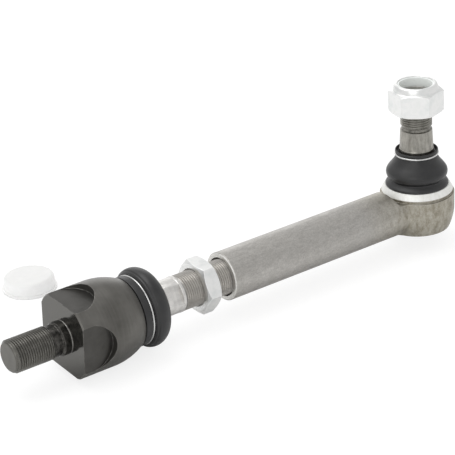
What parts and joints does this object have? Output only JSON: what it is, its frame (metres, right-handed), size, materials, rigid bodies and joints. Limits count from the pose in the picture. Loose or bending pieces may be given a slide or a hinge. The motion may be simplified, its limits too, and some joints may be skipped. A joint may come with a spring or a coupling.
{
  "type": "steering drag link",
  "caption": "Adjustable steering drag link: forged tube with a ball stud joint at one end and a screwed-in axial ball joint at the other, with rubber boots, lock nuts and a loose cap.",
  "frame": {"origin": "point where the axis of the outer ball stud crosses the axis of the rod, inside the eye", "axes": "+Z along the ball stud, towards its nut; +X along the rod, from the inner joint towards the eye; -X is the way the inner threaded stud points"},
  "size_m": [0.328, 0.1565, 0.1084],
  "materials": {
    "tube_steel": "satin forged and ground steel",
    "black_oxide": "semi-gloss black oxide",
    "rod_steel": "bright turned steel",
    "stud_steel": "dark turned steel",
    "zinc_plate": "bright zinc plating",
    "wire_steel": "bright spring wire",
    "ring_steel": "bright turned steel",
    "plate_steel": "pressed sheet steel",
    "spring_steel": "phosphated spring steel",
    "boot_rubber": "black rubber with a soft sheen",
    "seat_plastic": "natural acetal",
    "locking_plastic": "natural nylon",
    "cap_plastic": "thin translucent white plastic"
  },
  "bodies": {
    "tie_rod": {"tie_rod_body": "tube_steel", "outer_upper_seat": "seat_plastic", "outer_lower_seat": "seat_plastic", "outer_disc_spring": "spring_steel", "outer_closing_plate": "plate_steel", "outer_boot_seat_ring": "ring_steel"},
    "outer_boot_swivel": {"outer_boot": "boot_rubber"},
    "outer_tilt": {"outer_boot_clip": "wire_steel"},
    "ball_stud": {"outer_ball_stud": "stud_steel"},
    "top_nut_travel": {"top_nut_locking_ring": "locking_plastic"},
    "top_nut": {"top_nut": "zinc_plate"},
    "rod_travel": {"inner_boot_small_ring": "wire_steel"},
    "ball_rod": {"inner_ball_rod": "rod_steel"},
    "lock_nut": {"tube_lock_nut": "zinc_plate"},
    "inner_boot_swivel": {"inner_boot": "boot_rubber"},
    "inner_tilt": {"inner_boot_large_ring": "wire_steel"},
    "inner_housing": {"inner_housing": "black_oxide", "inner_front_seat": "seat_plastic", "inner_rear_seat": "seat_plastic", "inner_disc_spring": "spring_steel"},
    "plastic_cap": {"plastic_cap": "cap_plastic"}
  },
  "joints": [
    {"name": "outer_tilt_direction", "type": "hinge", "parent": "tie_rod", "child": "outer_boot_swivel", "pos_m": [0, 0, 0], "axis": [0, 0, 1], "continuous": true},
    {"name": "outer_ball_tilt", "type": "hinge", "parent": "outer_boot_swivel", "child": "outer_tilt", "pos_m": [0, 0, 0], "axis": [0, 1, 0], "range_deg": [-18, 18], "deforming": ["outer_boot"]},
    {"name": "outer_stud_spin", "type": "hinge", "parent": "outer_tilt", "child": "ball_stud", "pos_m": [0, 0, 0], "axis": [0, 0, 1], "continuous": true},
    {"name": "top_nut_travel", "type": "slide", "parent": "ball_stud", "child": "top_nut_travel", "axis": [0, 0, 1], "range_m": [-0.006, 0.009]},
    {"name": "top_nut_turn", "type": "hinge", "parent": "top_nut_travel", "child": "top_nut", "pos_m": [0, 0, 0.07], "axis": [0, 0, 1], "range_deg": [-1440, 2160]},
    {"name": "rod_travel", "type": "slide", "parent": "tie_rod", "child": "rod_travel", "axis": [1, 0, 0], "range_m": [-0.012, 0.003]},
    {"name": "rod_turn", "type": "hinge", "parent": "rod_travel", "child": "ball_rod", "pos_m": [-0.1563, 0, 0], "axis": [1, 0, 0], "range_deg": [-2880, 720]},
    {"name": "lock_nut_travel", "type": "slide", "parent": "ball_rod", "child": "lock_nut", "axis": [1, 0, 0], "range_m": [-0.01, 0.0072]},
    {"name": "inner_tilt_direction", "type": "hinge", "parent": "ball_rod", "child": "inner_boot_swivel", "pos_m": [-0.2414, 0, 0], "axis": [1, 0, 0], "continuous": true},
    {"name": "inner_ball_tilt", "type": "hinge", "parent": "inner_boot_swivel", "child": "inner_tilt", "pos_m": [-0.2414, 0, 0], "axis": [0, 1, 0], "range_deg": [-18, 18], "deforming": ["inner_boot"]},
    {"name": "inner_housing_spin", "type": "hinge", "parent": "inner_tilt", "child": "inner_housing", "pos_m": [-0.2414, 0, 0], "axis": [1, 0, 0], "continuous": true},
    {"name": "cap_lift", "type": "slide", "parent": "tie_rod", "child": "plastic_cap", "axis": [0, 0, 1], "range_m": [0, 0.05]}
  ],
  "couplings": [
    {"joint": "top_nut_turn", "follows": "top_nut_travel", "rad_per_m": 4188.8},
    {"joint": "rod_turn", "follows": "rod_travel", "rad_per_m": 4188.8}
  ]
}
